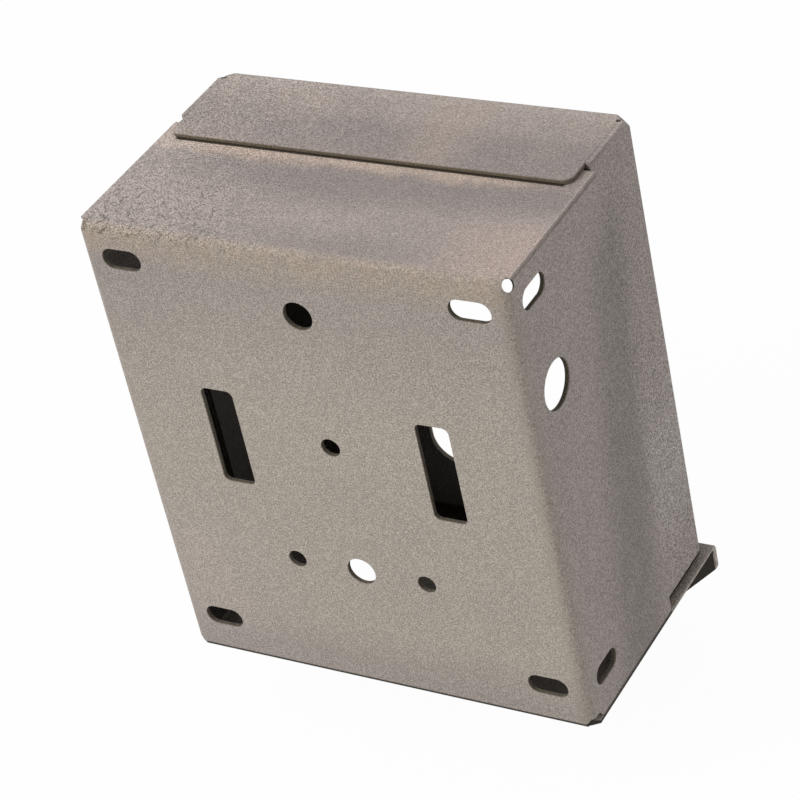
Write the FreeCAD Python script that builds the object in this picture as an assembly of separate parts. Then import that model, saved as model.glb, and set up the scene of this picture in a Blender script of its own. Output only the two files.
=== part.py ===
import FreeCAD, Part
import math
import os

# Folded sheet-steel guard box for an outdoor camera that is strapped or screwed to a post.
# It is two folded sheets: a rear shell that carries the mounting slots, and a front cover that
# nests between the shell's sides and is held to it by a padlock through their two lips.
#
# Shapes are drawn with x across the box, y forward from the back face and z up from the
# underside, in millimetres. place_in_frame then turns them so that the front looks along -Y and
# the origin sits on the back face, at the centre of the four mounting slots.

Vector = FreeCAD.Vector
ACROSS = Vector(1, 0, 0)
FORWARD = Vector(0, 1, 0)
UP = Vector(0, 0, 1)

# Sheet and folds
sheet = 1.5
bend_radius = 2.5
seam_gap = 0.3
nest_gap = 0.2

# Closed box
body_width = 132.0
body_height = 151.6
shell_depth = 52.4
case_depth = 79.1

# Mounting slots, four in the back and two in each side
slot_length = 12.6
slot_width = 6.6
slot_inset = 12.3
slot_height = 14.0
slot_rise = 127.0

# Strap slots in the back
strap_slot_width = 10.4
strap_slot_length = 32.6
strap_slot_corner = 2.0
strap_slot_spacing = 68.0
strap_slot_height = 84.6

# Round holes in the back
upper_hole_radius = 4.5
upper_hole_height = 131.0
middle_hole_radius = 3.0
middle_hole_height = 87.2
lower_hole_radius = 4.5
lower_hole_height = 43.4
lower_pair_radius = 2.9
lower_pair_spacing = 42.2

# Round cable hole in each side
side_hole_radius = 7.2
side_hole_inset = 14.8
side_hole_height = 109.8

# Opening in the floor
floor_opening_width = 22.0
floor_opening_depth = 16.0
floor_opening_corner = 4.0
floor_opening_offset = 34.0
floor_opening_inset = 44.0

# Round relief at each upper rear corner, a little round towards the side
top_relief_radius = 1.75
top_relief_shift = 1.1
top_fold_runout = 1.1
top_corner_cut = 0.5

# Notch across each lower rear corner, measured from the corner towards the back and the side
floor_relief_height = 3.8
floor_relief_back = 3.5
floor_relief_side = 4.9
floor_relief_head_back = 0.3
floor_relief_head_side = 3.0
floor_relief_corner = 0.8

# Ends of the floor's rear fold, and the slant that clears the sides' folds
floor_fold_inset = 2.6
floor_slant_start = 1.9
floor_slant_end = 3.9

# Down-turned lip at the front of the floor
lip_overhang = 5.0
lip_end_drop = 7.6
lip_drop = 30.0
lip_end_corner = 2.0
lip_corner = 6.0
padlock_hole_radius = 5.0
padlock_hole_drop = 16.0

# Front cover
cover_lap = 20.4
cover_lap_drop = 1.5
notch_gap = 1.2
tongue_lap = 7.9
tongue_corner = 3.0
cover_floor_gap = 1.9
slit_gap = 0.1
slit_inset = 1.9
slit_relief_radius = 0.8
cover_corner_cut = 3.0
cover_lip_width = 70.0
cover_lip_relief = 1.6

# Stepped window in the cover, wide at the lens and narrow at the sensor below it
window_sill = 20.3
window_step = 44.0
window_head = 120.0
lower_window_width = 43.4
upper_window_width = 66.0
lower_window_corner = 9.1
upper_window_corner = 10.0
window_step_corner = 5.0

# Sizes that follow from the ones above
half_width = body_width / 2
side_fold_start = half_width - bend_radius
top_fold_start = body_height - bend_radius
cover_half_width = half_width - sheet - nest_gap
cover_top = body_height + nest_gap + sheet
cover_bottom = sheet + cover_floor_gap
cover_side_fold = cover_half_width - bend_radius
cover_front_fold = case_depth - bend_radius
flange_half_width = cover_half_width - sheet - slit_gap
slit_end = cover_front_fold - slit_inset
lip_front = case_depth + lip_overhang
cover_lip_front = lip_front + nest_gap + sheet
slot_reach = half_width - slot_inset
slot_heights = (slot_height, slot_height + slot_rise)
pattern_height = slot_height + slot_rise / 2

# How far cutters and outlines run past the sheet that they trim
beyond = 20.0


def box(low, high):
    """A box between its lowest and highest corner."""
    size = high - low
    return Part.makeBox(size.x, size.y, size.z, low)


def both_sides(shape):
    """The shape and its mirror image on the other side of the box."""
    return [shape, shape.mirror(Vector(0, 0, 0), ACROSS)]


def path_edges(points, radii):
    """Edges along a path, with an arc at each corner between its ends that has a radius."""
    edges = []
    start = points[0]
    for index in range(1, len(points) - 1):
        corner = points[index]
        backward = (points[index - 1] - corner).normalize()
        onward = (points[index + 1] - corner).normalize()
        half_angle = backward.getAngle(onward) / 2
        bisector = (backward + onward).normalize()
        reach = radii[index] / math.tan(half_angle)
        centre = corner + bisector * (radii[index] / math.sin(half_angle))
        arc_start = corner + backward * reach
        arc_end = corner + onward * reach
        edges.append(Part.LineSegment(start, arc_start).toShape())
        if radii[index] > 0:
            edges.append(Part.Arc(arc_start, centre - bisector * radii[index], arc_end).toShape())
        start = arc_end
    edges.append(Part.LineSegment(start, points[-1]).toShape())
    return edges


def rounded_plate(corners, radii, direction):
    """A closed outline with rounded corners, drawn out along a direction."""
    first = (corners[-1] + corners[0]) / 2
    points = [first] + corners + [first]
    edges = path_edges(points, [0.0] + radii + [0.0])
    return Part.Face(Part.Wire(edges)).extrude(direction)


def offset_path(points, normal, shift):
    """A path moved sideways within the sheet, and the radius of each of its folds."""
    moved = []
    radii = []
    last = len(points) - 1
    for index, point in enumerate(points):
        arriving = (points[max(index, 1)] - points[max(index, 1) - 1]).normalize()
        leaving = (points[min(index, last - 1) + 1] - points[min(index, last - 1)]).normalize()
        side_before = normal.cross(arriving)
        side_after = normal.cross(leaving)
        moved.append(point + (side_before + side_after) * (shift / (1 + side_before.dot(side_after))))
        turn = math.copysign(1, normal.dot(arriving.cross(leaving)))
        radii.append(bend_radius - sheet / 2 - shift * turn)
    return moved, radii


def folded_strip(points, normal, length):
    """A sheet folded along the path of its mid-surface, and drawn out along the fold lines."""
    left_points, left_radii = offset_path(points, normal, sheet / 2)
    right_points, right_radii = offset_path(points, normal, -sheet / 2)
    left = path_edges(left_points, left_radii)
    right = path_edges(right_points, right_radii)
    ends = [
        Part.LineSegment(left_points[0], right_points[0]).toShape(),
        Part.LineSegment(left_points[-1], right_points[-1]).toShape(),
    ]
    outline = Part.Wire(Part.__sortEdges__(left + right + ends))
    return Part.Face(outline).extrude(normal * length)


def hole(centre, radius, direction):
    """A round cutter that passes through one sheet in both directions."""
    start = centre - direction * beyond / 2
    return Part.makeCylinder(radius, beyond, start, direction)


def slot(centre, along, direction):
    """A cutter for one mounting slot, with round ends and its length along one direction."""
    reach = (slot_length - slot_width) / 2
    across = direction.cross(along)
    middle = [
        centre + along * (reach * end) + across * (slot_width / 2 * side) - direction * beyond / 2
        for end, side in ((-1, -1), (1, -1), (1, 1), (-1, 1))
    ]
    bar = Part.Face(Part.makePolygon(middle + middle[:1])).extrude(direction * beyond)
    ends = [hole(centre + along * (reach * end), slot_width / 2, direction) for end in (-1, 1)]
    return bar.fuse(ends)


def back_cutters():
    """The holes and slots through the back of the shell."""
    cutters = []
    for height in slot_heights:
        cutters += both_sides(slot(Vector(slot_reach, 0, height), ACROSS, FORWARD))
    strap_x = strap_slot_spacing / 2
    low = Vector(strap_x - strap_slot_width / 2, -beyond / 2, strap_slot_height - strap_slot_length / 2)
    high = Vector(strap_x + strap_slot_width / 2, -beyond / 2, strap_slot_height + strap_slot_length / 2)
    corners = [low, Vector(high.x, low.y, low.z), high, Vector(low.x, low.y, high.z)]
    cutters += both_sides(rounded_plate(corners, [strap_slot_corner] * 4, FORWARD * beyond))
    cutters.append(hole(Vector(0, 0, upper_hole_height), upper_hole_radius, FORWARD))
    cutters.append(hole(Vector(0, 0, middle_hole_height), middle_hole_radius, FORWARD))
    cutters.append(hole(Vector(0, 0, lower_hole_height), lower_hole_radius, FORWARD))
    pair = hole(Vector(lower_pair_spacing / 2, 0, lower_hole_height), lower_pair_radius, FORWARD)
    return cutters + both_sides(pair)


def side_cutters():
    """The slots and the cable hole through each side of the shell."""
    cutters = []
    for height in slot_heights:
        cutters += both_sides(slot(Vector(half_width, slot_inset, height), FORWARD, ACROSS))
    cable_hole = hole(Vector(half_width, side_hole_inset, side_hole_height), side_hole_radius, ACROSS)
    return cutters + both_sides(cable_hole)


def floor_cutter():
    """The rounded opening in the floor, beside the centre."""
    reach_x = floor_opening_width / 2
    reach_y = floor_opening_depth / 2
    centre = Vector(-floor_opening_offset, floor_opening_inset, -beyond / 2)
    corners = [
        centre + Vector(reach_x * side, reach_y * end, 0)
        for side, end in ((-1, -1), (1, -1), (1, 1), (-1, 1))
    ]
    return rounded_plate(corners, [floor_opening_corner] * 4, UP * beyond)


def top_reliefs():
    """The round reliefs at the upper rear corners, through the ends of three folds."""
    outward = Vector(1, -1, 1).normalize()
    towards_side = Vector(2, 1, -1).normalize()
    centre = Vector(half_width, 0, body_height) + towards_side * top_relief_shift
    return both_sides(hole(centre, top_relief_radius, outward))


def floor_reliefs():
    """The notches across the lower rear corners, through the ends of the sides' folds."""
    outward = Vector(1, -1, 0).normalize()
    towards_side = Vector(1, 1, 0).normalize()
    corner = Vector(half_width, 0, 0) - outward * beyond / 2
    head = corner + UP * floor_relief_height
    outline = [
        corner - towards_side * floor_relief_back,
        head - towards_side * floor_relief_head_back,
        head + towards_side * floor_relief_head_side,
        corner + towards_side * floor_relief_side,
    ]
    radii = [0.0, floor_relief_corner, floor_relief_corner, 0.0]
    return both_sides(rounded_plate(outline, radii, outward * beyond))


def fold_ends():
    """What the sides' folds take from the back, and what ends its upper and lower folds."""
    beside = box(
        Vector(side_fold_start, -beyond, bend_radius),
        Vector(half_width + beyond, bend_radius, top_fold_start),
    )
    upper = box(
        Vector(side_fold_start + top_fold_runout, -beyond, top_fold_start),
        Vector(half_width + beyond, bend_radius + top_corner_cut, body_height + beyond),
    )
    fold_end = half_width - floor_fold_inset
    slant = [
        Vector(fold_end, -beyond, -beyond),
        Vector(fold_end, floor_slant_start, -beyond),
        Vector(half_width, floor_slant_end, -beyond),
        Vector(half_width + beyond, floor_slant_end, -beyond),
    ]
    lower = Part.Face(Part.makePolygon(slant + slant[:1])).extrude(UP * (beyond + bend_radius))
    return both_sides(beside) + both_sides(upper) + both_sides(lower)


def lip_outline(half_outline, radii):
    """Everything between a lip's mirrored side edges, through the whole depth of the box."""
    top = Vector(half_outline[0].x, -beyond, cover_top + beyond)
    right = [top] + half_outline
    left = [Vector(-corner.x, corner.y, corner.z) for corner in reversed(right)]
    depth = cover_lip_front + 2 * beyond
    return rounded_plate(right + left, radii + radii[::-1], FORWARD * depth)


def padlock_cutter():
    """The padlock's hole through both lips."""
    centre = Vector(0, lip_front, -padlock_hole_drop)
    return hole(centre, padlock_hole_radius, FORWARD)


def rear_shell():
    """The back, top, sides, floor and lip of the shell, folded from one sheet."""
    mid = sheet / 2
    spine = [
        Vector(-half_width, shell_depth, body_height - mid),
        Vector(-half_width, mid, body_height - mid),
        Vector(-half_width, mid, mid),
        Vector(-half_width, lip_front - mid, mid),
        Vector(-half_width, lip_front - mid, -lip_drop),
    ]
    spine_strip = folded_strip(spine, ACROSS, body_width)
    taper = lip_drop - lip_end_drop
    lip_side = [
        Vector(half_width, -beyond, -lip_end_drop),
        Vector(half_width - taper, -beyond, -lip_drop),
    ]
    spine_strip = spine_strip.common(lip_outline(lip_side, [0.0, lip_end_corner, lip_corner]))
    spine_strip = spine_strip.cut(fold_ends())

    girth_low = sheet + seam_gap
    girth_high = body_height - sheet - seam_gap
    girth = [
        Vector(-half_width + mid, shell_depth, girth_low),
        Vector(-half_width + mid, mid, girth_low),
        Vector(half_width - mid, mid, girth_low),
        Vector(half_width - mid, shell_depth, girth_low),
    ]
    girth_strip = folded_strip(girth, UP, girth_high - girth_low)
    girth_strip = girth_strip.cut(floor_reliefs())
    for low, high in ((-beyond, bend_radius), (top_fold_start, body_height + beyond)):
        fold = box(Vector(-side_fold_start, -beyond, low), Vector(side_fold_start, bend_radius, high))
        girth_strip = girth_strip.cut(fold)

    shell = spine_strip.fuse(girth_strip)
    cutters = top_reliefs() + back_cutters() + side_cutters() + [floor_cutter(), padlock_cutter()]
    return shell.cut(cutters).removeSplitter()


def window_cutter():
    """The stepped window through the front of the cover."""
    near = case_depth - beyond / 2
    low_x = lower_window_width / 2
    high_x = upper_window_width / 2
    corners = [
        Vector(-low_x, near, window_sill),
        Vector(low_x, near, window_sill),
        Vector(low_x, near, window_step),
        Vector(high_x, near, window_step),
        Vector(high_x, near, window_head),
        Vector(-high_x, near, window_head),
        Vector(-high_x, near, window_step),
        Vector(-low_x, near, window_step),
    ]
    low, step, high = lower_window_corner, window_step_corner, upper_window_corner
    return rounded_plate(corners, [low, low, step, step, high, high, step, step], FORWARD * beyond)


def tongue_outline():
    """Everything inside the outline of the cover's top, seen from above."""
    back = shell_depth - tongue_lap
    fold_end = cover_side_fold - slit_gap
    low = body_height - beyond
    corners = [
        Vector(-flange_half_width, back, low),
        Vector(flange_half_width, back, low),
        Vector(flange_half_width, cover_front_fold, low),
        Vector(fold_end, cover_front_fold, low),
        Vector(fold_end, case_depth + beyond, low),
        Vector(-fold_end, case_depth + beyond, low),
        Vector(-fold_end, cover_front_fold, low),
        Vector(-flange_half_width, cover_front_fold, low),
    ]
    radii = [tongue_corner] * 2 + [0.0] * 6
    return rounded_plate(corners, radii, UP * 2 * beyond)


def cover_top_strip():
    """The cover's top, its rear tongue and the fold down to the front."""
    mid = sheet / 2
    path = [
        Vector(-half_width, shell_depth - tongue_lap - 1, cover_top - mid),
        Vector(-half_width, case_depth - mid, cover_top - mid),
        Vector(-half_width, case_depth - mid, cover_top - 2 * bend_radius),
    ]
    return folded_strip(path, ACROSS, body_width).common(tongue_outline())


def cover_girth_strip():
    """The cover's front and its two sides, whose rear parts nest inside the shell."""
    mid = sheet / 2
    back = shell_depth - cover_lap
    path = [
        Vector(-cover_half_width + mid, back, cover_bottom),
        Vector(-cover_half_width + mid, case_depth - mid, cover_bottom),
        Vector(cover_half_width - mid, case_depth - mid, cover_bottom),
        Vector(cover_half_width - mid, back, cover_bottom),
    ]
    strip = folded_strip(path, UP, cover_top - cover_bottom)
    under_shell = box(
        Vector(-half_width, back - beyond, body_height - sheet - cover_lap_drop),
        Vector(half_width, shell_depth + notch_gap, cover_top + beyond),
    )
    top_fold = box(
        Vector(-cover_side_fold, cover_front_fold, cover_top - bend_radius),
        Vector(cover_side_fold, case_depth + beyond, cover_top + beyond),
    )
    return strip.cut([under_shell, top_fold])


def cover_lip_strip():
    """The cover's lip, folded forward over the shell's floor and down in front of its lip."""
    mid = sheet / 2
    ledge = sheet + nest_gap + mid
    path = [
        Vector(-half_width, case_depth - mid, cover_bottom + 2 * bend_radius),
        Vector(-half_width, case_depth - mid, ledge),
        Vector(-half_width, cover_lip_front - mid, ledge),
        Vector(-half_width, cover_lip_front - mid, -lip_drop),
    ]
    lip_side = [Vector(cover_lip_width / 2, -beyond, -lip_drop)]
    return folded_strip(path, ACROSS, body_width).common(lip_outline(lip_side, [0.0, lip_corner]))


def cover_corners():
    """What is cut off the cover's upper front corners, square to their diagonals."""
    outward = Vector(1, 1, 1).normalize()
    start = Vector(cover_half_width, case_depth, cover_top) - outward * cover_corner_cut
    return both_sides(Part.makeCylinder(beyond, beyond, start, outward))


def front_cover():
    """The front, sides, top tongue and lip of the cover, folded from one sheet."""
    cover = cover_girth_strip().fuse([cover_top_strip(), cover_lip_strip()])
    cutters = cover_corners() + [window_cutter(), padlock_cutter()]
    slit_hole = hole(Vector(flange_half_width, slit_end, cover_top), slit_relief_radius, UP)
    reach = cover_lip_width / 2
    lip_relief = box(
        Vector(reach, case_depth - beyond / 2, 0),
        Vector(reach + cover_lip_relief, case_depth + beyond, cover_bottom + bend_radius),
    )
    cutters += both_sides(slit_hole) + both_sides(lip_relief)
    return cover.cut(cutters).removeSplitter()


def place_in_frame(shape):
    """Turn the front to -Y and put the origin at the centre of the mounting slots."""
    turned = shape.copy()
    turned.rotate(Vector(0, 0, 0), UP, 180)
    turned.translate(Vector(0, 0, -pattern_height))
    return turned


def main():
    """Build each sheet and write it as a STEP file of its own."""
    os.makedirs("parts", exist_ok=True)
    pieces = {"rear_shell": rear_shell(), "front_cover": front_cover()}
    for name, shape in pieces.items():
        placed = place_in_frame(shape)
        placed.exportStep("parts/" + name + ".step")
        print(name, placed.isValid(), len(placed.Solids), round(placed.Volume, 1), placed.BoundBox)


main()
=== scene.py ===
# %% [markdown]
# # A folded steel guard box for an outdoor camera
# The box is two folded sheets: a rear shell that is screwed or strapped to a post, and a front
# cover that nests inside it and is locked by a padlock through two lips. Its shape was made
# elsewhere and is loaded as a fixed frame. This lesson dresses the two sheets in their coat of
# paint, sets up the camera and the light, and never moves a part.

# %% Load the frame
import math

import bmesh
import bpy
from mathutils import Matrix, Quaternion, Vector


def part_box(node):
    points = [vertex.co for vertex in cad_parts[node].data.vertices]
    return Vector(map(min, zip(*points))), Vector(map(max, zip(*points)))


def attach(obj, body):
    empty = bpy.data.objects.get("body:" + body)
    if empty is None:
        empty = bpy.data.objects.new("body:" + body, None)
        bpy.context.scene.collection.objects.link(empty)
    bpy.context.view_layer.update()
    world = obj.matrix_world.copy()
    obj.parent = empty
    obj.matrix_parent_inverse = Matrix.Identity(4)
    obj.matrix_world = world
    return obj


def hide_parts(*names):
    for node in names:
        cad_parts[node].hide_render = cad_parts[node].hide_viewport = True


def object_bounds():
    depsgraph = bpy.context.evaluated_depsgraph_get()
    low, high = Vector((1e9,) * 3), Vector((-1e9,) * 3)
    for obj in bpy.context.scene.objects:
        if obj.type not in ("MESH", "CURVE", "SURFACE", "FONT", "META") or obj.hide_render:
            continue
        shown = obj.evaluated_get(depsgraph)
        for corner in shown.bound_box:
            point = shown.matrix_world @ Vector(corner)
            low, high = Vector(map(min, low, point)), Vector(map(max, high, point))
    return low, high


MM = 0.001

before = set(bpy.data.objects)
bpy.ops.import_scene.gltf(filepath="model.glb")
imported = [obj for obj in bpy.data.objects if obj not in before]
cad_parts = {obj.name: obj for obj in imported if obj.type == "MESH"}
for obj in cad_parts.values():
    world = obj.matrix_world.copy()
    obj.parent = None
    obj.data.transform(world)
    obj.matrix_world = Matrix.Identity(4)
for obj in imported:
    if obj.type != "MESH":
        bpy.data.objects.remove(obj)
cad_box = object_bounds()
low, high = (Vector(corner) for corner in cad_box)
print("box in mm:", [round(side / MM, 1) for side in high - low])

# %% [markdown]
# ## The camera
# A product photo like this one is taken with a long lens from some distance, so that parallel
# edges nearly stay parallel. A camera could be placed by hand until the picture looks right. Here
# its place, lens and tilt were worked out from the corners of the box, so they are given as
# numbers: where it stands, the point in the box that it looks at, and how far it leans.

# %% Camera
camera_place = Vector((-398.5, 511.7, 471.0)) * MM
camera_target = Vector((1.1, -37.8, -1.7)) * MM
camera_lens = 131.73
camera_lean = math.radians(-13.05)
sensor_width = 36
nearest_seen = 0.01
farthest_seen = 50


def aim_at_target(place):
    """The turn that makes a camera or a lamp at this place face the middle of the box."""
    return (camera_target - place).to_track_quat("-Z", "Y")


def add_camera():
    """A camera that looks from its place at its target and leans about its own axis."""
    camera = bpy.data.objects.new("camera", bpy.data.cameras.new("camera"))
    bpy.context.scene.collection.objects.link(camera)
    camera.location = camera_place
    camera.rotation_mode = "QUATERNION"
    camera.rotation_quaternion = aim_at_target(camera_place) @ Quaternion((0, 0, 1), camera_lean)
    camera.data.lens = camera_lens
    camera.data.sensor_width = sensor_width
    camera.data.clip_start = nearest_seen
    camera.data.clip_end = farthest_seen
    bpy.context.scene.camera = camera


add_camera()
print("camera distance in mm:", round((camera_target - camera_place).length / MM, 1))

# %% [markdown]
# ## A short way to write node maths
# A material is a graph of nodes. Wiring dozens of Math nodes by hand hides what they work out, so
# one small class wraps a socket and lets Python's operators add the nodes: `1 - mask * 0.5` reads
# as what it does. Any other node comes from `Finish.node`, which takes its type, its settings and
# its inputs.


# %% Values that operators work with
class Value:
    """A number or vector that flows through a finish, and that operators can work with."""

    def __init__(self, finish, socket):
        self.finish = finish
        self.socket = socket

    def maths(self, operation, *others):
        inputs = dict(enumerate((self,) + others))
        return self.finish.node("ShaderNodeMath", {"operation": operation}, inputs)

    def __add__(self, other):
        return self.maths("ADD", other)

    def __mul__(self, other):
        return self.maths("MULTIPLY", other)

    def __sub__(self, other):
        return self.maths("SUBTRACT", other)

    def __rsub__(self, other):
        inputs = {0: other, 1: self}
        return self.finish.node("ShaderNodeMath", {"operation": "SUBTRACT"}, inputs)

    __radd__ = __add__
    __rmul__ = __mul__

    def __neg__(self):
        return 0 - self

    def largest(self, other):
        return self.maths("MAXIMUM", other)

    def size(self):
        """The number without its sign."""
        return self.maths("ABSOLUTE")

    def rise(self, start, end):
        """0 before start and 1 after end, with a soft step between them."""
        settings = {"interpolation_type": "SMOOTHSTEP", "clamp": True}
        inputs = {"Value": self, "From Min": start, "From Max": end}
        return self.finish.node("ShaderNodeMapRange", settings, inputs)

    def fall(self, start, end):
        """1 before start and 0 after end."""
        return 1 - self.rise(start, end)

    def instead(self, share, other):
        """This number, or another one where share is 1."""
        return self * (1 - share) + share * other


print("besides + - *, a value has:", [name for name in vars(Value) if name[0] != "_"])


# %% Nodes of a finish
class Finish:
    """The nodes of a material or of the world."""

    def __init__(self, owner):
        owner.use_nodes = True
        self.owner = owner
        self.tree = owner.node_tree
        self.tree.nodes.clear()

    def node(self, kind, settings=None, inputs=None, output=0):
        """Adds a node: its settings first, then the values or links of its sockets."""
        node = self.tree.nodes.new(kind)
        for name, setting in (settings or {}).items():
            setattr(node, name, setting)
        for name, value in (inputs or {}).items():
            if isinstance(value, Value):
                self.tree.links.new(value.socket, node.inputs[name])
            else:
                node.inputs[name].default_value = value
        return Value(self, node.outputs[output]) if node.outputs else None

    def vector(self, operation, *vectors, output=0, **inputs):
        """Vector maths. A length comes out of the output named Value."""
        inputs.update(enumerate(vectors))
        return self.node("ShaderNodeVectorMath", {"operation": operation}, inputs, output)

    def mix(self, share, first, second):
        """The first colour, or the second where share is 1. They are inputs 6 and 7 of a Mix."""
        settings = {"data_type": "RGBA"}
        return self.node("ShaderNodeMix", settings, {0: share, 6: first, 7: second}, output=2)

    def noise(self, place, cell, detail, roughness=0.5):
        """Soft noise about 0.5, made on cells of this size in the units of place."""
        inputs = {"Vector": place, "Scale": 1 / cell, "Detail": detail, "Roughness": roughness}
        return self.node("ShaderNodeTexNoise", {"noise_dimensions": "3D"}, inputs)


print("a finish has:", [name for name in vars(Finish) if name[0] != "_"])

# %% [markdown]
# ## Floor, background and light
# The box stands over a plain white sweep. Making a floor white by adding light would wash out the
# box, so the floor is only shown as white to the camera: it mixes a little of its real, shaded
# surface with a plain white glow that other rays don't see. The shadow stays, softly. The world is
# white in the same way, and lights the box from all round at a lower level. One large soft lamp
# behind and above it gives the faces their different tones.

# %% Floor
floor_gap = 1 * MM
floor_size = 8.0
floor_paint = (0.8, 0.8, 0.8, 1)
floor_shade_share = 0.03
white = (1, 1, 1, 1)


def seen_directly(finish):
    """1 for rays from the camera, and for those that a glossy or clear surface sends on."""
    names = ("Is Camera Ray", "Is Glossy Ray", "Is Transmission Ray")
    rays = [finish.node("ShaderNodeLightPath", output=name) for name in names]
    return rays[0].largest(rays[1]).largest(rays[2])


def floor_finish():
    """A pale matt floor that the camera sees as white, with a little of its shade."""
    finish = Finish(bpy.data.materials.new("white_sweep"))
    surface = finish.node("ShaderNodeBsdfDiffuse", {}, {"Color": floor_paint})
    glow = finish.node("ShaderNodeEmission", {}, {"Color": white, "Strength": 1.0})
    share = seen_directly(finish) * (1 - floor_shade_share)
    shader = finish.node("ShaderNodeMixShader", {}, {0: share, 1: surface, 2: glow})
    finish.node("ShaderNodeOutputMaterial", {}, {"Surface": shader})
    return finish.owner


bpy.ops.object.select_all(action="DESELECT")
bpy.ops.mesh.primitive_plane_add(size=floor_size, location=(0, 0, low.z - floor_gap))
floor = bpy.context.object
floor.name = "floor"
floor.data.materials.append(floor_finish())
print("floor at z in mm:", round(floor.location.z / MM, 1))

# %% World and lamp
world_level = 0.545
key_power = 12.6
key_size = 0.9
key_place = Vector((0.55, 0.85, 1.0))


def set_world():
    """A white world that lights the box at a lower level than the camera sees."""
    bpy.context.scene.world = bpy.data.worlds.new("studio")
    finish = Finish(bpy.context.scene.world)
    direct = seen_directly(finish)
    level = direct + (1 - direct) * world_level
    sky = finish.node("ShaderNodeBackground", {}, {"Color": white, "Strength": level})
    finish.node("ShaderNodeOutputWorld", {}, {"Surface": sky})


def add_lamp(name, place, power, size):
    """A square soft lamp that faces the middle of the box."""
    lamp = bpy.data.objects.new(name, bpy.data.lights.new(name, "AREA"))
    bpy.context.scene.collection.objects.link(lamp)
    lamp.data.energy = power
    lamp.data.size = size
    lamp.location = place
    lamp.rotation_mode = "QUATERNION"
    lamp.rotation_quaternion = aim_at_target(place)


set_world()
add_lamp("key_lamp", key_place, key_power, key_size)
bpy.context.scene.view_settings.view_transform = "Standard"
print("key lamp distance in mm:", round((key_place - camera_target).length / MM))

# %% [markdown]
# ## From a frame node to a coated sheet
# The frame's meshes are loose triangles with razor edges. A real coated sheet has none: the powder
# melts, flows and rounds every cut edge, and most of all the upper edges of the flanges, which
# were broken before coating. It also runs into the hair-line seams and nearly closes them. So each
# node is copied, its triangles are merged and its flat areas made whole again, the points beside
# the seams move up to them, and each sharp edge gets a weight. A Bevel modifier then rounds it by
# its weight, and weighted normals keep the flat areas flat.

# %% Copy a node and merge it
merge_distance = 0.002 * MM
flat_angle = math.radians(1.0)


def use_only(piece):
    """Makes a piece the only selected and the active one."""
    bpy.ops.object.select_all(action="DESELECT")
    piece.select_set(True)
    bpy.context.view_layer.objects.active = piece


def merged_copy(node, name):
    """A copy of a node's mesh with merged points and whole flat areas."""
    piece = bpy.data.objects.new(name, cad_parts[node].data.copy())
    bpy.context.scene.collection.objects.link(piece)
    piece.data.materials.clear()
    use_only(piece)
    bpy.ops.object.mode_set(mode="EDIT")
    bpy.ops.mesh.select_all(action="SELECT")
    bpy.ops.mesh.remove_doubles(threshold=merge_distance)
    bpy.ops.mesh.dissolve_limited(angle_limit=flat_angle)
    bpy.ops.object.mode_set(mode="OBJECT")
    print(name, "faces of the merged copy:", len(piece.data.polygons))
    return piece


shell = merged_copy("rear_shell", "shell_coated")
cover = merged_copy("front_cover", "cover_coated")

# %% Close the seams between the shell's flanges
seam_levels = (72.3 * MM, -75.7 * MM)
seam_filled = 0.2 * MM
flange_start = 63.0 * MM
near = 0.05 * MM


def beside_seam(point, reach):
    """Whether a point is at one of the two seams between the shell's flanges."""
    return abs(point.x) > flange_start and any(abs(point.z - z) < reach for z in seam_levels)


def close_seams(piece):
    """Moves the sides' long edges towards the seams above and below them."""
    moved = [point for point in piece.data.vertices if beside_seam(point.co, near)]
    for point in moved:
        point.co.z += math.copysign(seam_filled, point.co.z)
    print("points moved to the seams:", len(moved))


close_seams(shell)

# %% Round the cut edges
sharp_angle = math.radians(40)
smooth_angle = math.radians(50)
broken_edge_radius = 0.65 * MM
rounding_segments = 3
broken_edge_weight = 1.0
cut_edge_weight = 0.43
seam_edge_weight = 0.12
seam_reach = 0.35 * MM


def edge_weight(edge, side, top):
    """How much of the largest rounding a sharp edge gets."""
    points = [point.co for point in edge.verts]
    if all(abs(abs(point.x) - side) < near and abs(point.z - top) < near for point in points):
        return broken_edge_weight
    if all(beside_seam(point, seam_reach) for point in points):
        return seam_edge_weight
    return cut_edge_weight


def weigh_edges(piece, side, top):
    """Gives the sharp edges their weights for the bevel, and counts them."""
    mesh = bmesh.new()
    mesh.from_mesh(piece.data)
    weights = mesh.edges.layers.float.new("bevel_weight_edge")
    sharp = [e for e in mesh.edges if e.is_manifold and e.calc_face_angle() > sharp_angle]
    for edge in sharp:
        edge[weights] = edge_weight(edge, side, top)
    mesh.to_mesh(piece.data)
    mesh.free()
    return len(sharp)


def apply_modifier(piece, kind, **settings):
    """Adds a modifier with these settings and applies it."""
    modifier = piece.modifiers.new(kind.lower(), kind)
    for name, value in settings.items():
        setattr(modifier, name, value)
    use_only(piece)
    bpy.ops.object.modifier_apply(modifier=modifier.name)


def round_edges(piece, node):
    """Rounds the cut edges of a sheet, and keeps its flat areas flat."""
    side, _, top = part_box(node)[1]
    sharp = weigh_edges(piece, side, top)
    apply_modifier(
        piece,
        "BEVEL",
        width=broken_edge_radius,
        segments=rounding_segments,
        limit_method="WEIGHT",
        use_clamp_overlap=True,
        harden_normals=False,
    )
    use_only(piece)
    bpy.ops.object.shade_smooth_by_angle(angle=smooth_angle)
    apply_modifier(piece, "WEIGHTED_NORMAL", keep_sharp=True)
    print(piece.name, "sharp edges:", sharp, "faces after the bevel:", len(piece.data.polygons))


round_edges(shell, "rear_shell")
round_edges(cover, "front_cover")

# %% [markdown]
# ## The colours
# The box has a dark base coat all over. A lighter camouflage coat was sprayed on from outside: a
# taupe that leans to tan on the back and to rose on the top and the sides, with soft passes of a
# mauve grey. Each colour is written as a screen shows it, and turned into the share of light that
# it reflects, which is what a shader wants.

# %% Palette
screen_levels = 255
screen_foot = 0.055
screen_curve = 2.4


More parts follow.
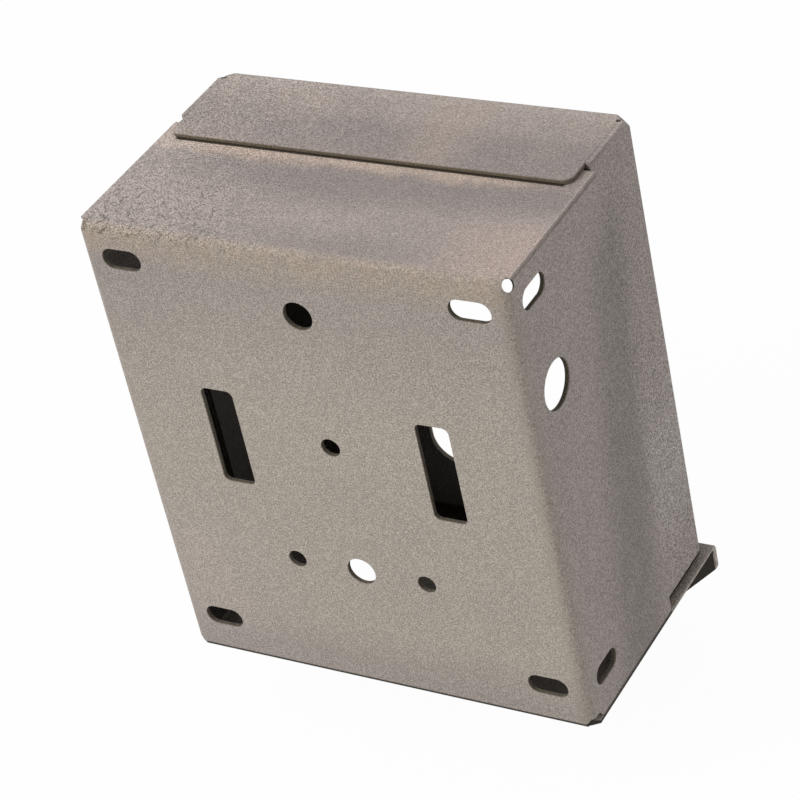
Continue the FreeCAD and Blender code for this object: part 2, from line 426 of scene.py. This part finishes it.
def paint(red, green, blue):
    """A colour from screen values of 0 to 255, as the share of light that it reflects."""
    levels = [(level / screen_levels + screen_foot) / (1 + screen_foot) for level in (red, green, blue)]
    return tuple(level**screen_curve for level in levels) + (1,)


tan_taupe = paint(159, 151, 140)
rose_taupe = paint(165, 154, 148)
mauve_grey = paint(140, 131, 127)
warm_sand = paint(175, 158, 146)
pale_mauve = paint(176, 167, 163)
pale_rose = paint(186, 175, 169)
warm_rose = paint(179, 161, 152)
tongue_sand = paint(192, 174, 161)
warm_tan = paint(157, 143, 128)
# painted shade: the darker tone laid on the fold between the back and the side away from the lamp
shade_painted_on_fold = paint(128, 119, 107)
edge_brown = paint(96, 87, 71)
# painted highlight: the bright line along the ledge's lower side edge
rim_highlight_colour = paint(200, 190, 180)
base_coat = paint(98, 93, 87)
# the darkest brown: painted shade in places that lie in shade, and the colour of the coat's cracks
shade_and_crack_dark = paint(42, 34, 24)
print("tan taupe reflects", [round(level, 3) for level in tan_taupe[:3]])

# %% [markdown]
# ## Where a point of the coat is
# The finishes are laid out by place, as a painter's passes are. `Spot` gives that place in
# millimetres: across the box, forward from the back, and up from the floor. It also gives how deep
# a point lies below the outer surface. That surface is a box with rounded edges, so the depth
# needs no mask that is painted by hand: it is the fold's radius less the distance to a smaller box.

# %% Places on the box
fold_radius = 2.5
open_end = 500.0
frame_floor = -77.5
cover_front = -79.1


class Spot:
    """Where a point of a sheet is, and which way it faces, as values for a finish."""

    def __init__(self, finish):
        self.finish = finish
        place = finish.node("ShaderNodeTexCoord", output="Object")
        self.mm = finish.vector("SCALE", place, Scale=1 / MM)
        self.across, y, z = self.parts(self.mm)
        self.forward = -y
        self.height = z - frame_floor
        self.side = self.across.size()
        facing = self.parts(finish.node("ShaderNodeTexCoord", output="Normal"))
        self.faces_back = facing[1]
        self.faces_up = facing[2]

    def parts(self, vector):
        """The three numbers of a vector."""
        return [self.finish.node("ShaderNodeSeparateXYZ", {}, {0: vector}, axis) for axis in "XYZ"]

    def depth(self, box_low, box_high):
        """How far the point lies below the outer surface of a folded box."""
        middle = (box_low + box_high) / 2
        reach = (box_high - box_low) / 2 - Vector((fold_radius,) * 3)
        offset = self.finish.vector("SUBTRACT", self.mm, middle)
        offset = self.finish.vector("ABSOLUTE", offset)
        offset = self.finish.vector("SUBTRACT", offset, reach)
        offset = self.finish.vector("MAXIMUM", offset, Vector((0, 0, 0)))
        return fold_radius - self.finish.vector("LENGTH", offset, output="Value")


shell_box = [Vector(corner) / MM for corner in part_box("rear_shell")]
shell_box[0].y = shell_box[0].z = -open_end
cover_box = [Vector(corner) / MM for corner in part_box("front_cover")]
cover_box[0].y = cover_front
cover_box[0].z = -open_end
cover_box[1].y = open_end
print("outer box of the cover in mm:", [tuple(round(c, 1) for c in corner) for corner in cover_box])

# %% [markdown]
# ## How far the spray reached
# From outside, the spray covers the outer surface. On a cut edge or in a hole it thins to brown
# within half a millimetre and is gone at the inner side of the sheet. The ledge and the lips stand
# out of the box, so there the direction that a face looks in decides: the lips were sprayed from
# the front, the ledge was only dusted, and what faces down or back is unsprayed and painted darker
# still, as shade. High on the inside of one side the sprayed colour is laid as painted light. Each
# pair of numbers is a soft step: where it starts and where it ends, in millimetres, or from -1 to 1
# for the way that a face looks.

# %% Where the spray thins out
spray_thins = (0.2, 0.5)
spray_ends = (0.95, 1.4)
seam_depth = (2.0, 3.0)
upper_seam = (149.7, 149.8, 150.1, 150.2)
lower_seam = (1.45, 1.5, 1.8, 1.85)


def between(value, start, full, thin, end):
    """1 between two soft steps, up and down again."""
    return value.rise(start, full) * value.fall(thin, end)


def bridged_seams(spot, depth):
    """The coat that bridges the shell's seams, where it looks as the outer surface does."""
    seams = between(spot.height, *upper_seam).largest(between(spot.height, *lower_seam))
    return seams * depth.fall(*seam_depth)


print("spray thins out over", spray_thins, "mm")

# %% The ledge in front of the shell's floor
ledge_start = (52.45, 52.75)
ledge_top = (1.55, 1.75)
looks_forward = (-0.8, -0.5)
looks_back = (0.3, 0.6)
looks_down = (-0.6, -0.3)
# The thin strip of the ledge beneath the cover's lower edge, made dark as painted shade.
nested_side = (63.4, 63.8)
nested_end = (78.6, 79.4)
dusted = 0.6
rim_side = (65.4, 65.7)
rim_top = (0.45, 0.75)
rim_start = (53, 58)
rim_highlight_shown = 0.8


def painted_rim_highlight(spot):
    """The lower side edge of the ledge, with a bright line painted on it as a highlight."""
    return spot.side.rise(*rim_side) * spot.height.fall(*rim_top) * spot.forward.rise(*rim_start)


def ledge_hidden(spot):
    """What the spray from the front didn't reach on the ledge and the lip, which take the darkest
    colour there as painted shade: the faces that look back or down, and a thin strip beneath the
    cover's lower edge.
    """
    hidden = spot.faces_back.rise(*looks_back).largest(spot.faces_up.fall(*looks_down))
    return hidden.largest(spot.side.fall(*nested_side) * spot.forward.fall(*nested_end))


print("share of the spray on the dusted ledge:", dusted)

# %% Reach of the spray on the shell
lower_turn = (1, 4)
unsprayed_shaded_below = (2.0, 2.5)
# Where the painted shadow along the tongue's edge starts, and how strong it is.
tongue_shadow = (43.8, 44.1)
top_face = (151.5, 151.55)
tongue_side = (60.5, 61.5)
shadow_share = 0.95
# Where the painted light high on the inside of one side lies, and how strong it is.
inside_light_side = (62, 63)
inside_light_height = (85, 115)
inside_light_end = (22, 33)
inside_light_share = 0.9


def painted_shadow_by_tongue(spot):
    """The strip of the shell's top along the cover's tongue, made dark: painted shadow just behind the
    tongue's edge, and unsprayed where the tongue covers it.
    """
    shadow = spot.forward.rise(*tongue_shadow) * spot.height.rise(*top_face)
    return shadow * spot.side.fall(*tongue_side) * shadow_share


def inside_painted_light(spot):
    """Painted light: the sprayed colour laid high on the inside of one side, where little light
    reaches.
    """
    high_up = spot.across.rise(*inside_light_side) * spot.height.rise(*inside_light_height)
    return high_up * spot.forward.fall(*inside_light_end) * inside_light_share


def shell_reach(spot, depth):
    """How much of the spray and of its brown edge the shell has, and where painted shade goes."""
    ledge = spot.forward.rise(*ledge_start) * spot.height.fall(*ledge_top)
    front = spot.faces_back.fall(*looks_forward)
    hidden = ledge_hidden(spot)
    bridged = bridged_seams(spot, depth)
    # The lower fold of the back, which faces the floor: unsprayed, and given the darkest colour as
    # painted shade.
    painted_shade_mask = (spot.height + spot.forward.rise(*lower_turn)).fall(*unsprayed_shaded_below)
    sprayed = depth.fall(*spray_thins).largest(bridged) * (1 - painted_shade_mask)
    browned = depth.fall(*spray_ends).largest(bridged) * (1 - painted_shade_mask)
    sprayed = sprayed.instead(ledge, (1 - hidden) * dusted + front * (1 - dusted))
    # The ledge's rim counts as sprayed, so that its painted highlight shows.
    sprayed = sprayed.largest(painted_rim_highlight(spot) * rim_highlight_shown)
    shadow = painted_shadow_by_tongue(spot)
    sprayed = sprayed.largest(inside_painted_light(spot)) * (1 - shadow)
    browned = browned.instead(ledge, 1 - hidden) * (1 - shadow)
    return sprayed, browned, painted_shade_mask.largest(ledge).largest(shadow)


print("tongue's shadow starts", tongue_shadow, "mm from the back")

# %% Reach of the spray on the cover
cover_lip_side = (36.0, 36.8)
cover_joggle = (6.5, 7.5)
cover_corner = (290.9, 291.3)
looks_out = (0.2, 0.5)
tongue_level = (151.6, 151.7)
tongue_edge = (44.6, 44.8)
tongue_edge_top = (152.7, 153.1)


def cover_reach(spot, depth):
    """How much of the spray and of its brown edge the cover has, and where painted shade goes: a dark
    line at the foot of the tongue's rear edge.
    """
    lip = spot.height.fall(*cover_joggle) * spot.side.fall(*cover_lip_side)
    outside = spot.faces_up.largest(-spot.faces_back).rise(*looks_out)
    corner = (spot.side + spot.forward + spot.height).rise(*cover_corner)
    sprayed = depth.fall(*spray_thins).instead(lip, outside).largest(corner)
    browned = depth.fall(*spray_ends).instead(lip, outside)
    # The tongue's rear edge and its inner side take the darkest colour past the brown: a painted shadow
    # line at the foot of the edge.
    tongue = spot.height.rise(*tongue_level) * spot.forward.fall(*tongue_edge)
    bare = tongue * spot.height.fall(*tongue_edge_top)
    return sprayed * (1 - bare), browned, tongue


print("the cover's lip starts", cover_lip_side, "mm from its middle")

# %% [markdown]
# ## The passes of the spray can
# Real camouflage of this kind is quick work: a few soft passes, none with an edge. Each pass is a
# mask from the place on the box, and slow noise makes it patchy. The passes run across the top,
# just behind and under the tongue of the cover, and down each side along the shell's front edge.
# Again each pair is a soft step in millimetres, and each share says how strong a pass is.

# %% Clouds and patches
cloud_cell = 24.0
cloud_step = (0.38, 0.62)
patch_cell = 9.0
patch_step = (0.36, 0.64)


def clouds(spot):
    """Slow patches from 0 to 1."""
    return spot.finish.noise(spot.mm, cloud_cell, detail=2).rise(*cloud_step)


def patches(spot):
    """Smaller patches from 0 to 1."""
    return spot.finish.noise(spot.mm, patch_cell, detail=3).rise(*patch_step)


print("clouds of", cloud_cell, "mm and patches of", patch_cell, "mm")

# %% Dark and warm passes on the shell's top
top_cloud_share = 0.25
dark_slant = 0.09
dark_start = (17, 31)
dark_share = 0.85
dark_thins_left = (20, 62)
dark_thins_share = 0.6
middle_centre = -12
middle_width = (5, 45)
middle_end = (4, 16)
middle_share = 0.55
warm_corner = (30, 62)
warm_corner_end = (18, 34)
warm_corner_share = 0.8


def top_passes(spot, cloud):
    """Rose with a warm rear corner, a dark pass before the tongue and one by the rear middle."""
    finish = spot.finish
    line = spot.forward - spot.side * dark_slant
    dark = line.rise(*dark_start) * (1 - spot.across.rise(*dark_thins_left) * dark_thins_share)
    middle = (spot.across - middle_centre).size().fall(*middle_width)
    middle = middle * spot.forward.fall(*middle_end)
    warm = (-spot.across).rise(*warm_corner) * spot.forward.fall(*warm_corner_end)
    colour = finish.mix(cloud * top_cloud_share, rose_taupe, mauve_grey)
    colour = finish.mix(warm * warm_corner_share, colour, warm_rose)
    grey = (dark * dark_share).largest(middle * middle_share)
    return finish.mix(grey, colour, mauve_grey)


print("the dark pass before the tongue starts", dark_start, "mm from the back")

# %% Pale left end, sandy line and crest of the shell's top
left_end = (42, 62)
left_pale_share = 0.22
left_sand_share = 0.5
sand_start = (38.5, 43)
sand_waver = 2
sand_height = (100, 140)
sand_least = 0.8
sand_patch_share = 0.2
sand_thins_right = (42, 60)
sand_thins_share = 0.75
tongue_sand_start = (40, 43)
crest_end = (0.8, 3.5)
crest_least = 0.1
crest_patch_share = 0.25


def top_tint(spot, cloud, patch):
    """The shell's top: its passes, a sandy line beside the tongue and a pale crest."""
    finish = spot.finish
    left = spot.across.rise(*left_end)
    colour = finish.mix(left * left_pale_share, top_passes(spot, cloud), pale_rose)
    beside = (spot.forward + patch * sand_waver).rise(*sand_start)
    beside = beside * spot.height.rise(*sand_height) * (sand_least + patch * sand_patch_share)
    beside = beside * (1 - (-spot.across).rise(*sand_thins_right) * sand_thins_share)
    sand = finish.mix(spot.forward.rise(*tongue_sand_start), warm_sand, tongue_sand)
    colour = finish.mix(beside, colour, finish.mix(left * left_sand_share, sand, pale_rose))
    crest = spot.forward.fall(*crest_end) * (crest_least + patch * crest_patch_share)
    return finish.mix(crest, colour, pale_rose)


print("the sandy line starts", sand_start, "mm from the back")

# %% Tint of the back
mauve_across = (10, 60)
mauve_top = (30, 75)
mauve_share = 0.55
back_top_dark = (90, 150)
back_top_share = 0.6
back_foot_dark = (3, 24)
back_foot_share = 0.55
back_corner_across = (15, 60)
back_corner_height = (75, 125)
back_corner_share = 0.22
back_cloud_share = 0.08
back_warm = (138, 148)
back_warm_least = 0.5
back_warm_patch_share = 0.4


def back_tint(spot, cloud, patch):
    """The back: tan, darker towards its top and its lower edge, with a mauve lower corner."""
    finish = spot.finish
    mauve = spot.across.rise(*mauve_across) * spot.height.fall(*mauve_top)
    colour = finish.mix(mauve * mauve_share, tan_taupe, rose_taupe)
    dark = spot.height.rise(*back_top_dark) * back_top_share
    dark = dark + spot.height.fall(*back_foot_dark) * back_foot_share
    corner = spot.across.rise(*back_corner_across) * spot.height.rise(*back_corner_height)
    dark = dark + corner * back_corner_share
    colour = finish.mix(dark + cloud * back_cloud_share, colour, mauve_grey)
    warm = spot.height.rise(*back_warm) * (back_warm_least + patch * back_warm_patch_share)
    return finish.mix(warm, colour, warm_tan)


print("the warm band of the back starts", back_warm, "mm above the floor")

# %% Tint of the sides
side_cloud_share = 0.15
side_slant = 0.16
side_line = 33
side_dark_width = (3, 21)
side_dark_top = (122, 150)
side_dark_least = 0.75
side_dark_patch_share = 0.2
side_pale_start = (44, 62)
side_pale_top = (40, 95)
side_pale_foot = (8, 36)
side_pale_share = 0.75


def side_tint(spot, cloud, patch):
    """A side: rose, a dark pass that leans forward, and a paler lower front."""
    finish = spot.finish
    line = spot.forward - spot.height * side_slant - side_line
    dark = line.size().fall(*side_dark_width) * spot.height.fall(*side_dark_top)
    pale = spot.forward.rise(*side_pale_start) * spot.height.fall(*side_pale_top)
    pale = pale * spot.height.rise(*side_pale_foot)
    colour = finish.mix(cloud * side_cloud_share, rose_taupe, mauve_grey)
    colour = finish.mix(pale * side_pale_share, colour, pale_mauve)
    share = dark * (side_dark_least + patch * side_dark_patch_share)
    return finish.mix(share, colour, mauve_grey)


print("the dark pass meets the floor", side_line, "mm from the back")

# %% Tint of the cover's top
tongue_dark_end = (57, 69)
tongue_dark_share = 0.95
tongue_thins_left = (15, 62)
tongue_thins_share = 0.65
cover_cloud_share = 0.2
cover_patch_share = 0.25
cover_rose_start = (70, 77)
cover_rose_share = 0.4
grey_least = 0.65
grey_cloud_share = 0.2
cover_warm_centre = -18
cover_warm_width = (2, 16)
cover_warm_share = 0.3


def cover_top_tint(spot, cloud, patch):
    """The cover's top: mauve grey on the tongue, rose towards the front."""
    finish = spot.finish
    left = spot.across.rise(*tongue_thins_left)
    dark = spot.forward.fall(*tongue_dark_end) * (tongue_dark_share - left * tongue_thins_share)
    colour = finish.mix(cloud * cover_cloud_share, rose_taupe, mauve_grey)
    colour = finish.mix(patch * cover_patch_share, colour, warm_sand)
    front = spot.forward.rise(*cover_rose_start)
    colour = finish.mix(front * cover_rose_share, colour, pale_rose)
    colour = finish.mix(dark * (grey_least + cloud * grey_cloud_share), colour, mauve_grey)
    warm = (spot.across - cover_warm_centre).size().fall(*cover_warm_width)
    return finish.mix(warm * cover_warm_share, colour, warm_sand)


print("the cover's grey pass ends", tongue_dark_end, "mm from the back")

# %% Colours that flow round the shell's folds
back_end = (0.2, 3.4)
side_start = (63.6, 65.6)
side_top = (149.5, 150.5)
side_top_shift = 1.6
fold_across = (60, 66)
fold_end = (0.6, 2.4)
shade_on_fold_share = 0.5
beyond_fold = (1.5, 9)
beyond_share = 0.4
flange_edge_side = (65.6, 65.95)
flange_edge_height = (150.0, 150.2)
flange_edge_share = 0.45
broken_side = (65.2, 65.6)
broken_height = (150.7, 151.1)
broken_share = 0.4


def shell_tint(spot):
    """The shell's colours, which flow into each other round its folds, with painted shade on one fold
    and a painted highlight on the ledge's rim.
    """
    finish = spot.finish
    cloud, patch = clouds(spot), patches(spot)
    on_back = spot.forward.fall(*back_end)
    on_side = (spot.side - spot.height.rise(*side_top) * side_top_shift).rise(*side_start)
    colour = finish.mix(on_back, top_tint(spot, cloud, patch), back_tint(spot, cloud, patch))
    colour = finish.mix(on_side, colour, side_tint(spot, cloud, patch))
    # Painted shade on the fold between the back and the side that the lamp doesn't reach.
    fold = (-spot.across).rise(*fold_across) * spot.forward.fall(*fold_end)
    colour = finish.mix(fold * shade_on_fold_share, colour, shade_painted_on_fold)
    beyond = on_side * spot.forward.fall(*beyond_fold)
    colour = finish.mix(beyond * beyond_share, colour, tan_taupe)
    flange_edge = spot.side.rise(*flange_edge_side) * spot.height.rise(*flange_edge_height)
    colour = finish.mix(flange_edge * flange_edge_share, colour, edge_brown)
    broken = spot.side.rise(*broken_side) * spot.height.rise(*broken_height)
    colour = finish.mix(broken * broken_share, colour, pale_rose)
    # A painted highlight along the ledge's lower side edge.
    return finish.mix(painted_rim_highlight(spot), colour, rim_highlight_colour)


print("the back's colours end", back_end, "mm round the fold")

# %% Colours of the cover
cover_top_start = (150.8, 152.9)


def cover_tint(spot):
    """The cover's colours: its top, and its sides and front as the shell's sides."""
    cloud, patch = clouds(spot), patches(spot)
    on_top = spot.height.rise(*cover_top_start)
    beside, above = side_tint(spot, cloud, patch), cover_top_tint(spot, cloud, patch)
    return spot.finish.mix(on_top, beside, above)


print("the cover's top colours start", cover_top_start, "mm above the floor")

# %% [markdown]
# ## The wrinkled grain
# The coat's grain is what the eye reads first: fine wrinkles less than a millimetre apart, with
# small pits where the dark coat shows and crests that catch the light. Two sizes of noise make
# it. They raise a Bump node, and also lighten the crests and darken the pits, because a soft light
# alone would leave so small a relief almost flat. The grain is coarser towards one end of the top,
# where the thick coat also has short cracks: those are the borders of a Voronoi node's cells,
# broken up by noise. Where the back turns into a side, the lamp only grazes the coat and every
# crest would throw a dark speck, so the relief is calmer there.

# %% Wrinkles and cracks
noise_middle = 0.5
wrinkle_cell = 0.95
wrinkle_width = 0.07
wrinkle_roughness = 0.6
wrinkle_share = 0.27
fine_cell = 0.4
fine_share = 0.73
crackle_cell = 3.0
crackle_width = (0.01, 0.1)
crackle_gap_cell = 1.8
crackle_gap = (0.5, 0.56)
crackle_across = (5, 40)
crackle_end = (14, 30)
crackle_height = (146, 150)


def grain_height(spot):
    """The wrinkles, from 0 in the pits to 1 on the crests."""
    wave = spot.finish.noise(spot.mm, wrinkle_cell, detail=2, roughness=wrinkle_roughness)
    crest = (wave - noise_middle).size().fall(0, wrinkle_width)
    fine = spot.finish.noise(spot.mm, fine_cell, detail=1)
    return crest * wrinkle_share + fine * fine_share


def crackle(spot):
    """Short dark cracks in the thick coat at one rear corner of the top."""
    settings = {"feature": "DISTANCE_TO_EDGE"}
    inputs = {"Vector": spot.mm, "Scale": 1 / crackle_cell}
    border = spot.finish.node("ShaderNodeTexVoronoi", settings, inputs, output="Distance")
    region = spot.across.rise(*crackle_across) * spot.forward.fall(*crackle_end)
    region = region * spot.height.rise(*crackle_height)
    broken = spot.finish.noise(spot.mm, crackle_gap_cell, detail=1).rise(*crackle_gap)
    return border.fall(*crackle_width) * broken * region


print("wrinkles of", wrinkle_cell, "mm and a finer grain of", fine_cell, "mm")

# %% Contrast of the grain
grain_middle = 0.44
grain_top = (148, 151)
grain_side = (63.5, 64.2)
plain_contrast = 2.0
side_contrast = 0.3
wavy_front = (46, 62)
wavy_contrast = 0.2
wavy_top = (70, 110)
wavy_foot_contrast = 0.6
top_calm = 0.3
coarse_left = (-20, 60)
coarse_contrast = 1.1
calm_side = (60, 63.5)
calm_end = (2.5, 6)
calm_tone = 0.3
calm_relief = 0.85


def grain_contrast(spot, on_top):
    """How much the grain lightens and darkens the colour, by place."""
    on_side = spot.side.rise(*grain_side) * (1 - on_top)
    wavy = wavy_contrast + spot.height.fall(*wavy_top) * wavy_foot_contrast
    contrast = plain_contrast + on_side * (side_contrast + spot.forward.rise(*wavy_front) * wavy)
    return contrast + on_top * (spot.across.rise(*coarse_left) * coarse_contrast - top_calm)


def calm_fold(spot, on_top):
    """The folds between the back and the sides, where the lamp only grazes the coat."""
    return spot.side.rise(*calm_side) * spot.forward.fall(*calm_end) * (1 - on_top)


print("the grain's middle height is", grain_middle)

# %% The whole coat
depth_waver = 0.4
crackle_share = 0.55
grain_depth = 0.16 * MM
bump_strength = 0.45
least_rough = 0.58
rough_by_height = 0.25
coat_specular = 0.35


def coat_colour(finish, spot, depth, reach, tint):
    """The dark coat below, its brown edge, the darkest colour where painted shade goes, and the sprayed
    colour that tint gives on top.
    """
    sprayed, browned, painted_shade_mask = reach(spot, depth)
    # Painted shade: the darkest colour where the mask says.
    colour = finish.mix(painted_shade_mask, base_coat, shade_and_crack_dark)
    colour = finish.mix(browned, colour, edge_brown)
    return finish.mix(sprayed, colour, tint(spot))


def coat_finish(name, box, reach, tint):
    """The wrinkled coat: its colours by place, then the tone and the relief of its grain."""
    finish = Finish(bpy.data.materials.new(name))
    spot = Spot(finish)
    height = grain_height(spot)
    swell = height - grain_middle
    colour = coat_colour(finish, spot, spot.depth(*box) + swell * depth_waver, reach, tint)
    on_top = spot.height.rise(*grain_top)
    calm = calm_fold(spot, on_top)
    tone = 1 + swell * grain_contrast(spot, on_top) * (1 - calm * calm_tone)
    colour = finish.vector("SCALE", colour, Scale=tone)
    relief = swell * (1 - calm * calm_relief)
    bump = {"Strength": bump_strength, "Distance": grain_depth, "Height": relief}
    inputs = {
        "Base Color": finish.mix(crackle(spot) * crackle_share, colour, shade_and_crack_dark),
        "Roughness": least_rough + height * rough_by_height,
        "Normal": finish.node("ShaderNodeBump", {}, bump),
        "Specular IOR Level": coat_specular,
    }
    shader = finish.node("ShaderNodeBsdfPrincipled", {}, inputs)
    finish.node("ShaderNodeOutputMaterial", {}, {"Surface": shader})
    print(name, "nodes:", len(finish.tree.nodes))
    return finish.owner


shell.data.materials.append(coat_finish("shell_coat", shell_box, shell_reach, shell_tint))
cover.data.materials.append(coat_finish("cover_coat", cover_box, cover_reach, cover_tint))

# %% [markdown]
# ## Hand the pieces to the frame
# Each coated sheet rides on its body, so it moves with the joint, and stands for the bare node
# that it was copied from.

# %% Ride and replace
for piece, body, node, slot in (
    (shell, "shell", "rear_shell", "shell_coat"),
    (cover, "cover", "front_cover", "cover_coat"),
):
    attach(piece, body)
    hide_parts(node)
    print(piece.name, "rides on", body)
